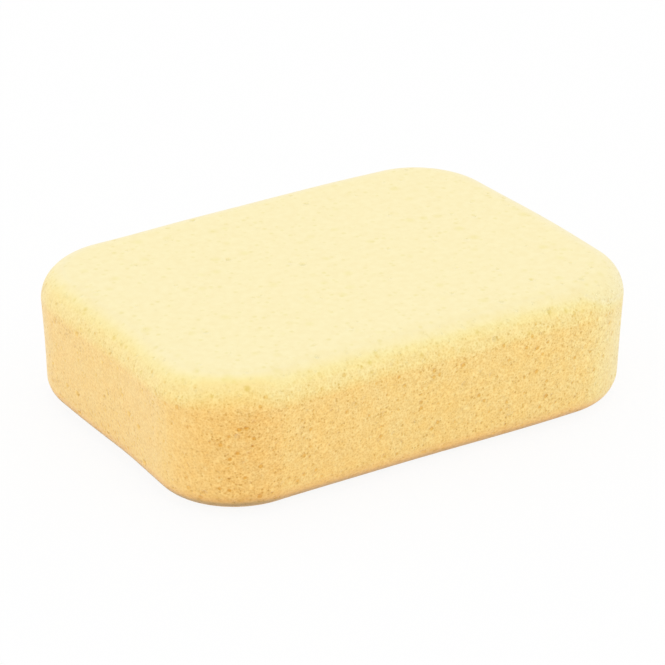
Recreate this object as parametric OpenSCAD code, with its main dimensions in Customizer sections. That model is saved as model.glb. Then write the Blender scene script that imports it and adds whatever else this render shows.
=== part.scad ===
// Large cleaning sponge: one block of open-cell foam, cut with soft rounds on every edge.
// +X runs along the length and +Z up, and the origin is at the centre of the base.

/* [Block] */
// Length of the block, where its walls are widest
length = 190; // [150:1:230]
// Width of the block, where its walls are widest
width = 140; // [115:1:170]
// Thickness of the block, from the base to the top face
thickness = 51; // [40:1:64]
// Radius of the four upright corners, seen from above
corner_r = 32; // [24:0.5:40]

/* [Edges] */
// Radius of the round between the top face and the walls
top_edge_r = 12; // [8:0.5:15]
// Radius of the round between the walls and the base
base_edge_r = 9; // [6:0.5:12]
// How far each wall leans in between its head and its foot
wall_taper = 1.1; // [0:0.1:3]

/* [Pores] */
// Opening of the smallest pore
pore_min_d = 1.2; // [0.8:0.1:2]
// Opening of the largest pore
pore_max_d = 2.6; // [2:0.1:4.5]
// Depth of a pore as a share of its opening
pore_depth_share = 0.38; // [0.2:0.01:0.45]
// Least distance between pores on the walls and the rounds
wall_pore_gap = 6.5; // [6:0.5:16]
// Least distance between pores on the top face and on the base
face_pore_gap = 16; // [8:0.5:24]
// Which scatter of pores the block was cut with
pore_seed = 12; // [1:1:99]

/* [Hidden] */

FOAM = [0.97, 0.84, 0.57];
BODY_FN = 64;
PORE_FN = 14;

// The edge's section: x is 0 where the block is widest, and y is the height above the base.
top_centre = [-top_edge_r, thickness - top_edge_r];
base_centre = [-base_edge_r - wall_taper, base_edge_r];
centre_step = top_centre - base_centre;
// Tilt of the wall's outward normal above the horizontal: under 0, as the wall leans in towards its foot
wall_tilt = atan2(centre_step.y, centre_step.x) - acos((base_edge_r - top_edge_r) / norm(centre_step));
wall_normal = [cos(wall_tilt), sin(wall_tilt)];
wall_head = top_centre + top_edge_r * wall_normal;
wall_foot = base_centre + base_edge_r * wall_normal;

// Lengths along the section, from the top face over the edge and down to the base
top_round = arc_length(top_edge_r, 90 - wall_tilt);
wall_height = norm(wall_head - wall_foot);
base_round = arc_length(base_edge_r, 90 + wall_tilt);
section_length = top_round + wall_height + base_round;

// Lengths round the outline, seen from above: the centres of its corners stand on a rectangle
straight_x = length - 2 * corner_r;
straight_y = width - 2 * corner_r;
corner_arc = arc_length(corner_r, 90);
half_outline = straight_y + corner_arc + straight_x + corner_arc;

function arc_length(r, angle) = r * angle * PI / 180;
function arc_angle(r, arc) = arc / r * 180 / PI;

// [point of the section, tilt of its outward normal] at a distance t along the section
function section_at(t) =
    t < top_round ?
        on_round(top_centre, top_edge_r, 90 - arc_angle(top_edge_r, t))
    : t < top_round + wall_height ?
        [wall_head + (wall_foot - wall_head) * (t - top_round) / wall_height, wall_tilt]
    :
        on_round(base_centre, base_edge_r, wall_tilt - arc_angle(base_edge_r, t - top_round - wall_height));

function on_round(centre, r, tilt) = [centre + r * [cos(tilt), sin(tilt)], tilt];

// [point of the corners' rectangle, heading of the normal] at a distance s round the outline
function outline_at(s) =
    s < half_outline ?
        half_outline_at(s)
    :
        let (opposite = half_outline_at(s - half_outline))
        [-opposite[0], opposite[1] + 180];

// The half that starts along the +X wall, turns a corner, and goes on along the +Y wall
function half_outline_at(s) =
    s < straight_y ?
        [[straight_x / 2, s - straight_y / 2], 0]
    : s < straight_y + corner_arc ?
        [[straight_x / 2, straight_y / 2], arc_angle(corner_r, s - straight_y)]
    : s < straight_y + corner_arc + straight_x ?
        [[straight_x / 2 - (s - straight_y - corner_arc), straight_y / 2], 90]
    :
        [[-straight_x / 2, straight_y / 2], arc_angle(corner_r, s - straight_y - straight_x)];

// A pore is [point on the surface, tilt of the outward normal, heading of the normal, opening].
// Its draw is three random numbers from 0 to 1: two for its place and one for its opening.
function wall_pore(draw) =
    let (
        outline = outline_at(draw[0] * 2 * half_outline),
        section = section_at(draw[1] * section_length),
        heading = outline[1],
        reach = (corner_r + section[0].x) * [cos(heading), sin(heading)]
    )
    [[outline[0].x + reach.x, outline[0].y + reach.y, section[0].y], section[1], heading, opening(draw[2])];

function face_pore(draw, z, tilt) =
    [[(draw[0] - 0.5) * length, (draw[1] - 0.5) * width, z], tilt, 0, opening(draw[2])];

// Small pores are common, and large ones are rare.
function opening(share) = pore_min_d + (pore_max_d - pore_min_d) * pow(share, 3);

// Does a point lie on the flat of a face whose round and lean take up the inset?
function on_flat(point, inset) =
    let (
        past_x = max(abs(point.x) - straight_x / 2, 0),
        past_y = max(abs(point.y) - straight_y / 2, 0)
    )
    norm([past_x, past_y]) < corner_r - inset;

function draws(count, seed) =
    let (numbers = rands(0, 1, 3 * count, seed))
    [for (i = [0 : count - 1]) [for (k = [0 : 2]) numbers[3 * i + k]]];

// The pores that keep at least the gap from every earlier one in the list
function spaced(pores, gap) = [
    for (i = [0 : len(pores) - 1])
        let (crowding = [for (j = [0 : 1 : i - 1]) if (norm(pores[i][0] - pores[j][0]) < gap) j])
        if (crowding == []) pores[i]
];

wall_draws = draws(round(2 * half_outline * section_length / pow(wall_pore_gap, 2)), pore_seed);
wall_pores = spaced([for (draw = wall_draws) wall_pore(draw)], wall_pore_gap);

function face_pores(z, tilt, inset, seed) =
    let (
        face_draws = draws(round(length * width / pow(face_pore_gap, 2)), seed),
        candidates = [for (draw = face_draws) face_pore(draw, z, tilt)]
    )
    spaced([for (pore = candidates) if (on_flat(pore[0], inset + pore_max_d)) pore], face_pore_gap);

top_pores = face_pores(thickness, 90, top_edge_r, pore_seed + 1);
base_pores = face_pores(0, -90, base_edge_r + wall_taper, pore_seed + 2);

// The edge's section, from the widest point in to the centre of the corner
module edge_section() {
    translate([corner_r, 0]) {
        translate(top_centre) circle(r = top_edge_r, $fn = BODY_FN);
        translate(base_centre) circle(r = base_edge_r, $fn = BODY_FN);
        polygon([
            [-corner_r, 0], [base_centre.x, 0], wall_foot,
            wall_head, [top_centre.x, thickness], [-corner_r, thickness]
        ]);
    }
}

// A straight wall with its rounds, centred on X and facing +Y
module wall(span) {
    rotate([90, 0, 90])
        linear_extrude(height = span, center = true) edge_section();
}

module block() {
    translate([-straight_x / 2, -straight_y / 2, 0]) cube([straight_x, straight_y, thickness]);
    for (turn = [0, 180]) {
        rotate(turn) translate([0, straight_y / 2, 0]) wall(straight_x);
        rotate(turn + 90) translate([0, straight_x / 2, 0]) wall(straight_y);
    }
    for (side_x = [0, 1], side_y = [0, 1])
        mirror([side_x, 0, 0]) mirror([0, side_y, 0])
            translate([straight_x / 2, straight_y / 2, 0])
                rotate_extrude(angle = 90, $fn = BODY_FN) edge_section();
}

// A round cell that the surface cuts open: its centre is outside, so that it is widest where it opens
module cell(opening_d) {
    depth = opening_d * pore_depth_share;
    r = (pow(opening_d / 2, 2) + pow(depth, 2)) / (2 * depth);
    translate([0, 0, r - depth]) sphere(r = r, $fn = PORE_FN);
}

module pore_cells() {
    for (pore = concat(wall_pores, top_pores, base_pores))
        translate(pore[0]) rotate([0, 90 - pore[1], pore[2]]) cell(pore[3]);
}

module sponge() {
    color(FOAM)
        difference() {
            block();
            pore_cells();
        }
}

sponge();
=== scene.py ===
"""A large cleaning sponge on a white floor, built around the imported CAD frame.

The visible piece is the CAD solid's own surface, remeshed finely, with the smaller
pores of the foam sunk into it. Metres throughout; MM turns millimetres into them.
"""

import math

import bpy
import numpy as np
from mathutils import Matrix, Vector, kdtree, noise


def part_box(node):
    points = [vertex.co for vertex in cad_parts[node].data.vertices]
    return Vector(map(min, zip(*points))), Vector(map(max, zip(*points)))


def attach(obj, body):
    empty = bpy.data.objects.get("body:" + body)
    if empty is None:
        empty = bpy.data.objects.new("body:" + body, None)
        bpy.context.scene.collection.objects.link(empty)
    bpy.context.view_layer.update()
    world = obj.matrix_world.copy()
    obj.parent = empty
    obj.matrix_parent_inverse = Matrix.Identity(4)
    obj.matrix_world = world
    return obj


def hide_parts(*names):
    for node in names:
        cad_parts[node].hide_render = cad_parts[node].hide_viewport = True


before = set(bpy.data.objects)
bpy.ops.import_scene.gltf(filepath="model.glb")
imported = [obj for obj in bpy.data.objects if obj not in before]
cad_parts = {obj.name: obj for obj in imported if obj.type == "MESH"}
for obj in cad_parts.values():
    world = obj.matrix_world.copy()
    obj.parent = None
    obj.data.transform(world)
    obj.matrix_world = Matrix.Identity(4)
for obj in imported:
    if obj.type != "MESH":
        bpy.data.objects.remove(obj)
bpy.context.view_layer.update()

MM = 0.001
NODE = "sponge"

# Form of the block, as in the part's source
CORNER_R = 32 * MM
TOP_EDGE_R = 12 * MM
BASE_EDGE_R = 9 * MM
WALL_TAPER = 1.1 * MM
low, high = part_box(NODE)
HALF_X = (high.x - low.x) / 2
HALF_Y = (high.y - low.y) / 2
THICKNESS = high.z - low.z
BASE_Z = low.z

# Section of its edge, as there: x is 0 where the block is widest, and y is the height above the base
TOP_CENTRE = np.array([-TOP_EDGE_R, THICKNESS - TOP_EDGE_R])
BASE_CENTRE = np.array([-BASE_EDGE_R - WALL_TAPER, BASE_EDGE_R])
centre_step = TOP_CENTRE - BASE_CENTRE
WALL_TILT = (
    math.atan2(centre_step[1], centre_step[0])
    - math.acos((BASE_EDGE_R - TOP_EDGE_R) / np.linalg.norm(centre_step))
)
WALL_NORMAL = np.array([math.cos(WALL_TILT), math.sin(WALL_TILT)])
WALL_HEAD = TOP_CENTRE + TOP_EDGE_R * WALL_NORMAL

# Mesh: spacing of its points before it is thinned, and how many triangles are left then
VOXEL = 0.4 * MM
MOST_TRIANGLES = 196000
# A length that something is divided by is at least this
LEAST_LENGTH = 1e-9

# Slow unevenness of the cut: height of the waves and their length
WAVE_HEIGHT = 0.45 * MM
WAVE_LENGTH = 45 * MM
# The base stays flat, and the waves fade in up to this height
WAVE_FADE = 6 * MM

# The real block isn't quite even: place on its outline (mm), reach (mm) and how far it bulges (mm)
BULGES = (
    (95, -10, 57, 1.7),
    (15, 70, 70, 1.6),
    (-60, 70, 40, -1.2),
    (-92, -49, 45, 1.3),
    (-95, 30, 44, 0.5),
    (42, -70, 62, 1.1),
)

# Smaller pores that the scene adds: their radius, and how many there are per square millimetre
SEED = 11
PORE_MIN_R = 0.3 * MM
PORE_MAX_R = 0.7 * MM
WALL_PORES = 0.05
FACE_PORES = 0.002
# A wall or a round ends, and a face starts, where the normal is this upright
FACE_STARTS = 0.9
# The higher the power, the rarer the large pores
PORE_SIZE_POWER = 2.2
# Least width of a pore as a share of its length, and the waves of its rim: how many, and height in radii
PORE_LEAST_WIDTH = 0.65
PORE_RIM_WAVES = ((2, 0.14), (3, 0.1))
# How far the points that a pore moves lie from its middle, in radii
PORE_REACH = 1.3
# Depth as a share of the opening, and how the hollow rises from its middle to its rim
PORE_DEPTH_SHARE = 0.32
PORE_HOLLOW_POWER = 0.6

# Looks: colour by the tone, which is 0 on a wall, 1 on a face and under 0 at the foot
# The paler rounds and faces are partly the foam's own colour and partly painted light for a brighter-lit
# top; the stops under 0 are painted shade at the foot
TONES = (
    (-0.9, (180, 146, 92)),
    (-0.65, (208, 171, 104)),
    (-0.5, (230, 185, 110)),
    (-0.3, (243, 195, 115)),
    (-0.15, (252, 208, 126)),
    (0.0, (255, 214, 133)),
    (0.1, (255, 221, 141)),
    (0.3, (255, 230, 155)),
    (0.48, (255, 232, 161)),
    (0.62, (255, 235, 163)),
    (0.76, (254, 238, 171)),
    (0.87, (254, 240, 183)),
    (0.95, (252, 239, 187)),
    (1.0, (253, 240, 185)),
)
# Painted light and shade round the block (a shift under 0 shades, above 0 lights): heading of the middle
# and reach in degrees, amount on the walls, on the round above them and at their foot
PAINTED_LIGHT_BY_HEADING = (
    (-122, 53, -0.11, -0.28, -0.13),
    (-45, 65, 0.6, 0.7, 0.6),
    (160, 60, 0.08, 0.0, -0.2),
)
# The same painted light and shade by place: on the outline (mm), reach (mm) and amount
PAINTED_LIGHT_BY_PLACE = (
    (-52, -70, 50, -0.05),
    (66, -70, 28, 0.06),
)
# Painted shade: the tone drops at the foot, and once more near the floor
FOOT_SHADE = 0.34
CONTACT_SHADE = 0.32

# Zones by how far the surface faces down: where each starts, and where it is full. The foot and contact
# zones hold the painted shade.
FOOT = (0.05, 0.7)
CONTACT = (0.36, 0.68)
UNDERSIDE = (0.72, 0.96)
# The same by how far it faces up
ABOVE_WALL = (0.0, 0.5)
# The same by how far it faces up or down: no shift of the tone, grain of the rounds,
# no grain, marks of the rounds and marks of the faces
NO_SHIFT = (0.75, 1.0)
ROUND_GRAIN = (0.0, 0.4)
NO_GRAIN = (0.6, 1.0)
ROUND_MARKED = (0.05, 0.4)
FACE_MARKED = (0.7, 1.0)

# Fine openings: spacing, share of cells that hold one, largest radius, soft edge (mm), tint
OPENINGS = (
    (0.62, 0.9, 0.44, 0.22, (0.925, 0.89, 0.77)),
    (1.15, 0.55, 0.62, 0.24, (0.82, 0.72, 0.47)),
    (2.4, 0.4, 1.15, 0.5, (0.88, 0.71, 0.37)),
)
# Cells between them: spacing (mm), tint of the walls of a cell, tint of its middle
CELLS = (
    (0.8, (1.08, 1.13, 1.23), (0.885, 0.815, 0.69)),
    (1.5, (1.03, 1.055, 1.09), (0.96, 0.925, 0.87)),
)
# From the middle of a cell, in spacings: where its walls' tint starts to fade, and where it is gone
CELL_WALL = 0.85
CELL_MIDDLE = 0.15
# Soft yellow marks, in the openings' values: clear on the rounds, and wide and faint on the faces
ROUND_MARKS = (
    (3.4, 0.5, 1.6, 1.0, (0.88, 0.84, 0.62)),
    (1.7, 0.5, 0.9, 0.6, (0.93, 0.91, 0.80)),
)
FACE_MARKS = (
    (5.6, 0.6, 2.8, 2.0, (0.962, 0.955, 0.82)),
    (2.5, 0.7, 1.3, 0.9, (0.942, 0.93, 0.79)),
)
# The grain is strongest on the two sides that cut across the foam's cells: heading and reach in degrees
GRAIN_SIDES = ((-112, 55), (68, 55))
GRAIN_LEAST = 0.58
ROUND_GRAIN_LEAST = 0.7
# The power by which it fades from the walls to the faces
GRAIN_POWER = 0.9
# Painted shade in the pits, darker in red and green and bluer: it is full from this depth on
PIT_DEPTH = 0.6 * MM
PIT_SHADE_TINT = (0.93, 0.97, 1.1)
# Soft clouds: spacing (mm) and tint, and slower ones on the walls from one tint to another
CLOUD = 3.2
CLOUD_TINT = (0.98, 0.96, 0.915)
MOTTLE = 6.0
MOTTLE_TINTS = ((0.985, 1.015, 1.08), (1.0, 0.975, 0.91))
# Part of the noise's range that the clouds stretch over their own, and how fine the noise is
CLOUD_RANGE = (0.35, 0.65)
CLOUD_DETAIL = 4

ROUGHNESS = 0.95
SPECULAR = 0.1
SHEEN = 0.5
SHEEN_ROUGHNESS = 0.5
BUMP_STRENGTH = 0.5
BUMP_DISTANCE = 0.5 * MM

# The floor stays a hair below the base, so that the two faces don't coincide
FLOOR_Z = BASE_Z - 0.05 * MM
FLOOR_HALF = 3.0
FLOOR_GREY = 0.96
# Share of plain white in the floor that the camera sees: the rest is the lit floor with its shadow
FLOOR_GLOW = 0.9

# Light from all sides, and a soft lamp that points at the origin, in metres and watts
WORLD_STRENGTH = 0.99
LAMP_SIZE = 1.4
LAMP_POWER = 0.7
LAMP_PLACE = Vector((-0.3, 0.1, 1.5))

# The photo's camera: angles in degrees, and lens and sensor in millimetres
AZIMUTH = -32.28
ELEVATION = 25.68
DISTANCE = 1204.1 * MM
LENS = 178.6
SENSOR = 36
CLIP_START = 50 * MM
# The point that it turns round, and how far it is moved right and down in its picture plane
AIM = Vector((0, 0, 25 * MM))
MOVED_RIGHT = 0.03 * MM
MOVED_DOWN = 1.91 * MM


# The block's skin
def smooth_step(value, low_end, high_end):
    """0 up to the low end, 1 from the high end on, and smooth between them."""
    share = np.clip((value - low_end) / (high_end - low_end), 0, 1)
    return share * share * (3 - 2 * share)


def section_frame(points):
    """Distance out from the corners' rectangle (0 at the widest), and the outward heading."""
    past = np.maximum(np.abs(points[:, :2]) - (np.array([HALF_X, HALF_Y]) - CORNER_R), 0)
    reach = np.linalg.norm(past, axis=1)
    heading = past / np.maximum(reach, LEAST_LENGTH)[:, None] * np.sign(points[:, :2])
    return reach - CORNER_R, heading


def skin(points):
    """Signed distance to the block without its pores (above 0 outside), and its outward normals."""
    out, heading = section_frame(points)
    z = points[:, 2] - BASE_Z
    past_wall = (out - WALL_HEAD[0]) * WALL_NORMAL[0] + (z - WALL_HEAD[1]) * WALL_NORMAL[1]
    past_sides = np.stack([z - THICKNESS, -z, past_wall])
    distance = past_sides.max(axis=0)
    flat = np.array([[0.0, 1.0], [0.0, -1.0], WALL_NORMAL])[past_sides.argmax(axis=0)]
    for centre, radius, lowest, highest in (
        (TOP_CENTRE, TOP_EDGE_R, WALL_TILT, math.pi / 2),
        (BASE_CENTRE, BASE_EDGE_R, -math.pi / 2, WALL_TILT),
    ):
        arm = np.stack([out - centre[0], z - centre[1]], axis=1)
        angle = np.arctan2(arm[:, 1], arm[:, 0])
        on_round = (angle > lowest) & (angle < highest) & (arm[:, 0] > 0)
        length = np.linalg.norm(arm, axis=1)
        distance = np.where(on_round, length - radius, distance)
        flat = np.where(on_round[:, None], arm / np.maximum(length, LEAST_LENGTH)[:, None], flat)
    normals = np.column_stack([heading * flat[:, :1], flat[:, 1]])
    return distance, normals / np.linalg.norm(normals, axis=1)[:, None]


def waves(points):
    """Slow in-and-out unevenness of the cut, along the normal."""
    swell = np.array([noise.noise(Vector(point) / WAVE_LENGTH) for point in points])
    return WAVE_HEIGHT * swell * smooth_step(points[:, 2] - BASE_Z, 0, WAVE_FADE)


def patch(points, x, y, reach):
    """1 at a place in millimetres, seen from above, and 0 from the reach on."""
    off = np.hypot(points[:, 0] - x * MM, points[:, 1] - y * MM)
    return 1 - smooth_step(off, 0, reach * MM)


def bulges(points):
    """Sideways shift of each point, from none at the corners' rectangle to the full bulge on the walls."""
    out, heading = section_frame(points)
    amount = sum(height * MM * patch(points, x, y, reach) for x, y, reach, height in BULGES)
    return heading * (amount * smooth_step(out, -CORNER_R, 0))[:, None]


# Mesh
def apply_modifiers(piece):
    depsgraph = bpy.context.evaluated_depsgraph_get()
    mesh = bpy.data.meshes.new_from_object(piece.evaluated_get(depsgraph))
    piece.modifiers.clear()
    old = piece.data
    piece.data = mesh
    bpy.data.meshes.remove(old)


def remeshed_copy():
    """The CAD node's mesh as an even voxel mesh, in an object of its own."""
    piece = bpy.data.objects.new("foam_block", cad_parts[NODE].data.copy())
    bpy.context.scene.collection.objects.link(piece)
    remesh = piece.modifiers.new("even", "REMESH")
    remesh.mode = "VOXEL"
    remesh.voxel_size = VOXEL
    apply_modifiers(piece)
    return piece


def thin_out(piece):
    """Collapses edges until no more than the most triangles are left."""
    triangles = sum(len(face.vertices) - 2 for face in piece.data.polygons)
    thin = piece.modifiers.new("thin", "DECIMATE")
    thin.ratio = MOST_TRIANGLES / triangles
    thin.use_collapse_triangulate = True
    apply_modifiers(piece)


def get_points(mesh):
    points = np.empty(len(mesh.vertices) * 3, np.float32)
    mesh.vertices.foreach_get("co", points)
    return points.reshape(-1, 3).astype(float)


def set_points(mesh, points):
    mesh.vertices.foreach_set("co", points.astype(np.float32).ravel())
    mesh.update()


def hollow(arms, normal, radius, rng):
    """How deep one pore with a random turn and rim is at each arm from its middle."""
    along = np.cross(normal, rng.normal(size=3))
    along /= np.linalg.norm(along)
    across = np.cross(normal, along)
    width = rng.uniform(PORE_LEAST_WIDTH, 1.0)
    starts = rng.uniform(0, 2 * math.pi, len(PORE_RIM_WAVES))
    u = arms @ along / radius
    v = arms @ across / (radius * width)
    turn = np.arctan2(v, u)
    rim = 1
    for (count, height), start in zip(PORE_RIM_WAVES, starts):
        rim = rim + height * np.sin(count * turn + start)
    share = np.clip(1 - (u * u + v * v) / (rim * rim), 0, 1)
    return PORE_DEPTH_SHARE * radius * 2 * width * share ** PORE_HOLLOW_POWER


def sink_pores(points, normals):
    """How deep each point sinks into the smaller pores scattered over the skin."""
    rng = np.random.default_rng(SEED)
    tree = kdtree.KDTree(len(points))
    for index, point in enumerate(points):
        tree.insert(point, index)
    tree.balance()

    area = VOXEL * VOXEL / (MM * MM)
    on_wall = np.abs(normals[:, 2]) < FACE_STARTS
    chance = np.where(on_wall, WALL_PORES, FACE_PORES) * area
    middles = np.flatnonzero(rng.random(len(points)) < chance)
    radii = PORE_MIN_R + (PORE_MAX_R - PORE_MIN_R) * rng.random(len(middles)) ** PORE_SIZE_POWER
    depth = np.zeros(len(points))
    for middle, radius in zip(middles, radii):
        found = tree.find_range(points[middle], radius * PORE_REACH)
        near = np.array([index for _, index, _ in found])
        arms = points[near] - points[middle]
        depth[near] = np.maximum(depth[near], hollow(arms, normals[middle], radius, rng))
    return depth


def build_foam():
    piece = remeshed_copy()
    points = get_points(piece.data)
    distance, normals = skin(points)
    on_skin = points - distance[:, None] * normals
    depth = sink_pores(points, normals)
    points += (waves(on_skin) - depth)[:, None] * normals
    points[:, 2] = np.maximum(points[:, 2], BASE_Z)
    set_points(piece.data, points)
    thin_out(piece)
    piece.data.materials.clear()
    for polygon in piece.data.polygons:
        polygon.use_smooth = True
    return piece


# What the material needs to know at each point
def bell(heading, middle, reach):
    """1 at the middle, and 0 from the reach on, all in degrees."""
    off = np.abs((heading - middle + 180) % 360 - 180)
    return 1 - smooth_step(off, 0, reach)


def on_ramp(tone):
    """A tone as a share of the way along the ramp."""
    first, last = TONES[0][0], TONES[-1][0]
    return (tone - first) / (last - first)


def tone_at(points, up, heading):
    """The tone by how far a point faces up, with the painted light and shade round the block, at the foot
    and by place.
    """
    underside = smooth_step(-up, *UNDERSIDE)
    foot = smooth_step(-up, *FOOT) * (1 - underside)
    contact = smooth_step(-up, *CONTACT) * (1 - underside)
    above = smooth_step(up, *ABOVE_WALL)
    shift = sum(
        bell(heading, middle, reach) * (on_wall + (on_round - on_wall) * above + (at_foot - on_wall) * foot)
        for middle, reach, on_wall, on_round, at_foot in PAINTED_LIGHT_BY_HEADING
    )
    shift += sum(amount * patch(points, x, y, reach) for x, y, reach, amount in PAINTED_LIGHT_BY_PLACE)
    shift = shift * (1 - smooth_step(np.abs(up), *NO_SHIFT))
    return np.maximum(up, 0) + shift - FOOT_SHADE * foot - CONTACT_SHADE * contact + underside


def grain_at(level, heading):
    """How strong the openings and the cells show: most on the two grain sides, and not on the faces."""
    across = sum(bell(heading, middle, reach) for middle, reach in GRAIN_SIDES)
    least = GRAIN_LEAST + (ROUND_GRAIN_LEAST - GRAIN_LEAST) * smooth_step(level, *ROUND_GRAIN)
    strength = (least + (1 - least) * across) * (1 - level) ** GRAIN_POWER
    return strength * (1 - smooth_step(level, *NO_GRAIN))


def paint(points):
    """Per point: depth of its pit, place on the ramp of tones, and how strong grain and marks are."""
    distance, normals = skin(points)
    on_skin = points - distance[:, None] * normals
    up = normals[:, 2]
    level = np.abs(up)
    heading = np.degrees(np.arctan2(normals[:, 1], normals[:, 0]))
    face = smooth_step(level, *FACE_MARKED)
    return {
        "pit": np.clip((waves(on_skin) - distance) / PIT_DEPTH, 0, 1),
        "tone": on_ramp(tone_at(points, up, heading)),
        "grain": grain_at(level, heading),
        "round": smooth_step(level, *ROUND_MARKED) * (1 - face),
        "face": face,
    }


def paint_and_bulge(piece):
    """Paints the points, and then adds the bulges, as the skin that the paint follows has none."""
    points = get_points(piece.data)
    for name, values in paint(points).items():
        attribute = piece.data.attributes.new(name, "FLOAT", "POINT")
        attribute.data.foreach_set("value", values.astype(np.float32))
    points[:, :2] += bulges(points)
    set_points(piece.data, points)


# Material
def srgb(r, g, b):
    """A colour of 0 to 255 as Blender's linear one."""
    def linear(c):
        c /= 255
        return c / 12.92 if c <= 0.04045 else ((c + 0.055) / 1.055) ** 2.4
    return (linear(r), linear(g), linear(b), 1.0)


def feed(tree, socket, value):
    """Gives a socket its value: a number, a tint or another node's output."""
    if isinstance(value, bpy.types.NodeSocket):
        tree.links.new(value, socket)
    elif isinstance(value, tuple):
        socket.default_value = (*value, 1)
    else:
        socket.default_value = value


def math_node(tree, operation, a, b, clamp=False):
    node = tree.nodes.new("ShaderNodeMath")
    node.operation = operation
    node.use_clamp = clamp
    feed(tree, node.inputs[0], a)
    feed(tree, node.inputs[1], b)
    return node.outputs[0]


def mix_node(tree, kind, factor, first, second):
    """The first colour, blended with the second where the factor is 1."""
    node = tree.nodes.new("ShaderNodeMix")
    node.data_type = "RGBA"
    node.blend_type = kind
    feed(tree, node.inputs["Factor"], factor)
    feed(tree, node.inputs["A"], first)
    feed(tree, node.inputs["B"], second)
    return node.outputs["Result"]


def painted(tree, name):
    """What was painted on the points under the name."""
    node = tree.nodes.new("ShaderNodeAttribute")
    node.attribute_name = name
    return node.outputs["Fac"]


def cell_pattern(tree, place, spacing):
    """Node with how far each point is from the middle of its cell, and with the cell's random colour."""
    cells = tree.nodes.new("ShaderNodeTexVoronoi")
    feed(tree, cells.inputs["Scale"], 1 / (spacing * MM))
    feed(tree, cells.inputs["Vector"], place)
    return cells


def spots(tree, place, spacing, share, radius, soft):
    """Round openings, 1 inside: a share of the cells holds one, with a radius up to the one given."""
    cells = cell_pattern(tree, place, spacing)
    draw = tree.nodes.new("ShaderNodeSeparateColor")
    feed(tree, draw.inputs["Color"], cells.outputs["Color"])
    size = math_node(tree, "SUBTRACT", draw.outputs["Red"], 1 - share, clamp=True)
    size = math_node(tree, "MULTIPLY", size, radius / share / spacing)
    edge = math_node(tree, "SUBTRACT", size, cells.outputs["Distance"])
    return math_node(tree, "DIVIDE", edge, soft / spacing, clamp=True)


def cell_tint(tree, place, spacing, rim, middle):
    """A colour that goes from the rim's at the walls of a cell to the middle's."""
    away = cell_pattern(tree, place, spacing).outputs["Distance"]
    depth = math_node(tree, "SUBTRACT", CELL_WALL, away)
    depth = math_node(tree, "DIVIDE", depth, CELL_WALL - CELL_MIDDLE, clamp=True)
    return mix_node(tree, "MIX", depth, rim, middle)


def clouds(tree, place, spacing):
    """Soft patches from 0 to 1."""
    pattern = tree.nodes.new("ShaderNodeTexNoise")
    feed(tree, pattern.inputs["Scale"], 1 / (spacing * MM))
    feed(tree, pattern.inputs["Detail"], CLOUD_DETAIL)
    feed(tree, pattern.inputs["Vector"], place)
    spread = tree.nodes.new("ShaderNodeMapRange")
    feed(tree, spread.inputs["From Min"], CLOUD_RANGE[0])
    feed(tree, spread.inputs["From Max"], CLOUD_RANGE[1])
    feed(tree, spread.inputs["Value"], pattern.outputs["Fac"])
    return spread.outputs["Result"]


def tone_colour(tree):
    """The colour of the foam by its tone, with the painted light and shade that the tone holds."""
    ramp = tree.nodes.new("ShaderNodeValToRGB")
    stops = ramp.color_ramp.elements
    stops.remove(stops[1])
    for index, (tone, colour) in enumerate(TONES):
        stop = stops[0] if index == 0 else stops.new(on_ramp(tone))
        stop.position = on_ramp(tone)
        stop.color = srgb(*colour)
    feed(tree, ramp.inputs["Fac"], painted(tree, "tone"))
    return ramp.outputs["Color"]


def with_grain(tree, colour, place, grain):
    """The colour with cells and openings in it, and how deep the openings are."""
    for spacing, rim, middle in CELLS:
        tint = cell_tint(tree, place, spacing, rim, middle)
        colour = mix_node(tree, "MULTIPLY", grain, colour, tint)
    depth = 0
    for spacing, share, radius, soft, tint in OPENINGS:
        opening = math_node(tree, "MULTIPLY", spots(tree, place, spacing, share, radius, soft), grain)
        colour = mix_node(tree, "MULTIPLY", opening, colour, tint)
        depth = math_node(tree, "ADD", depth, math_node(tree, "MULTIPLY", opening, radius))
    return colour, depth


def with_marks(tree, colour, place):
    for marks, zone in ((ROUND_MARKS, "round"), (FACE_MARKS, "face")):
        for spacing, share, radius, soft, tint in marks:
            spot = spots(tree, place, spacing, share, radius, soft)
            spot = math_node(tree, "MULTIPLY", spot, painted(tree, zone))
            colour = mix_node(tree, "MULTIPLY", spot, colour, tint)
    return colour


def foam_material():
    material = bpy.data.materials.new("foam")
    material.use_nodes = True
    tree = material.node_tree
    shader = tree.nodes["Principled BSDF"]
    feed(tree, shader.inputs["Roughness"], ROUGHNESS)
    feed(tree, shader.inputs["Specular IOR Level"], SPECULAR)
    feed(tree, shader.inputs["Sheen Weight"], SHEEN)
    feed(tree, shader.inputs["Sheen Roughness"], SHEEN_ROUGHNESS)
    feed(tree, shader.inputs["Sheen Tint"], (1, 1, 1))

    place = tree.nodes.new("ShaderNodeTexCoord").outputs["Object"]
    grain = painted(tree, "grain")
    colour, depth = with_grain(tree, tone_colour(tree), place, grain)
    colour = with_marks(tree, colour, place)
    # Painted shade in the pits
    colour = mix_node(tree, "MULTIPLY", painted(tree, "pit"), colour, PIT_SHADE_TINT)
    colour = mix_node(tree, "MULTIPLY", clouds(tree, place, CLOUD), colour, CLOUD_TINT)
    mottle = mix_node(tree, "MIX", clouds(tree, place, MOTTLE), *MOTTLE_TINTS)
    colour = mix_node(tree, "MULTIPLY", grain, colour, mottle)
    feed(tree, shader.inputs["Base Color"], colour)

    bump = tree.nodes.new("ShaderNodeBump")
    bump.invert = True
    feed(tree, bump.inputs["Strength"], BUMP_STRENGTH)
    feed(tree, bump.inputs["Distance"], BUMP_DISTANCE)
    feed(tree, bump.inputs["Height"], depth)
    feed(tree, shader.inputs["Normal"], bump.outputs["Normal"])
    return material


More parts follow.
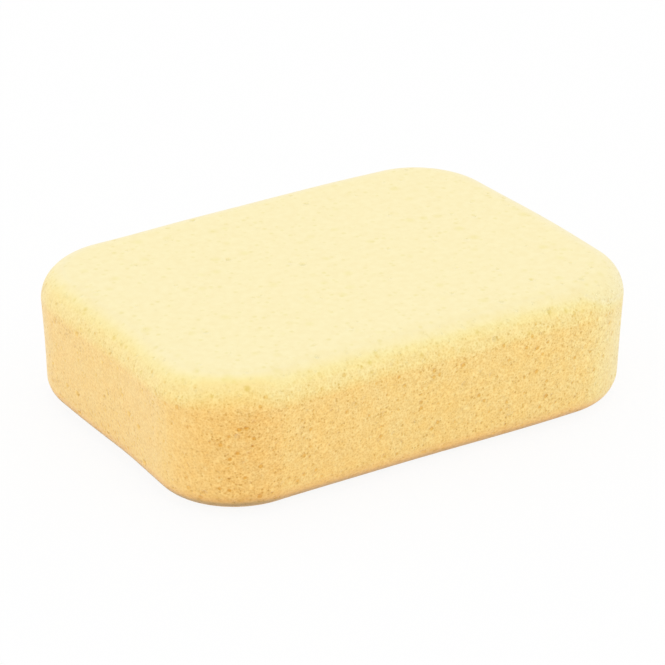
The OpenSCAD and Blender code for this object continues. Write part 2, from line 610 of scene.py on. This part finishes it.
# Floor, light and camera
def floor_material():
    """White to the camera and in reflections, apart from a share that keeps the shadow."""
    material = bpy.data.materials.new("floor_white")
    material.use_nodes = True
    tree = material.node_tree
    tree.nodes.clear()
    lit = tree.nodes.new("ShaderNodeBsdfDiffuse")
    feed(tree, lit.inputs["Color"], (FLOOR_GREY, FLOOR_GREY, FLOOR_GREY))
    glow = tree.nodes.new("ShaderNodeEmission")
    feed(tree, glow.inputs["Strength"], 1.0)
    ray = tree.nodes.new("ShaderNodeLightPath").outputs
    seen = math_node(tree, "MAXIMUM", ray["Is Camera Ray"], ray["Is Glossy Ray"])
    seen = math_node(tree, "MAXIMUM", seen, ray["Is Transmission Ray"])
    mix = tree.nodes.new("ShaderNodeMixShader")
    feed(tree, mix.inputs["Fac"], math_node(tree, "MULTIPLY", seen, FLOOR_GLOW))
    feed(tree, mix.inputs[1], lit.outputs["BSDF"])
    feed(tree, mix.inputs[2], glow.outputs["Emission"])
    output = tree.nodes.new("ShaderNodeOutputMaterial")
    feed(tree, output.inputs["Surface"], mix.outputs["Shader"])
    return material


def white_floor():
    mesh = bpy.data.meshes.new("floor")
    corners = [(x * FLOOR_HALF, y * FLOOR_HALF, FLOOR_Z) for x, y in ((-1, -1), (1, -1), (1, 1), (-1, 1))]
    mesh.from_pydata(corners, [], [(0, 1, 2, 3)])
    mesh.materials.append(floor_material())
    floor = bpy.data.objects.new("floor", mesh)
    bpy.context.scene.collection.objects.link(floor)


def soft_light():
    world = bpy.data.worlds.new("studio")
    bpy.context.scene.world = world
    world.use_nodes = True
    background = world.node_tree.nodes["Background"]
    feed(world.node_tree, background.inputs["Color"], (1, 1, 1))
    feed(world.node_tree, background.inputs["Strength"], WORLD_STRENGTH)
    lamp = bpy.data.lights.new("softbox", "AREA")
    lamp.shape = "DISK"
    lamp.size = LAMP_SIZE
    lamp.energy = LAMP_POWER
    holder = bpy.data.objects.new("softbox", lamp)
    holder.location = LAMP_PLACE
    holder.rotation_euler = (-LAMP_PLACE).to_track_quat("-Z", "Y").to_euler()
    bpy.context.scene.collection.objects.link(holder)


def camera_of_photo():
    azimuth = math.radians(AZIMUTH)
    elevation = math.radians(ELEVATION)
    level = Vector((math.sin(azimuth), -math.cos(azimuth), 0))
    back = level * math.cos(elevation) + Vector((0, 0, math.sin(elevation)))
    right = Vector((math.cos(azimuth), math.sin(azimuth), 0))
    up = back.cross(right)
    camera = bpy.data.cameras.new("camera")
    camera.sensor_width = SENSOR
    camera.lens = LENS
    camera.clip_start = CLIP_START
    holder = bpy.data.objects.new("camera", camera)
    bpy.context.scene.collection.objects.link(holder)
    holder.location = AIM + back * DISTANCE + right * MOVED_RIGHT - up * MOVED_DOWN
    holder.rotation_euler = back.to_track_quat("Z", "Y").to_euler()
    bpy.context.scene.camera = holder


# The scene
foam = build_foam()
paint_and_bulge(foam)
foam.data.materials.append(foam_material())
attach(foam, "root")
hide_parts(NODE)

white_floor()
soft_light()
camera_of_photo()
bpy.context.scene.view_settings.view_transform = "Standard"
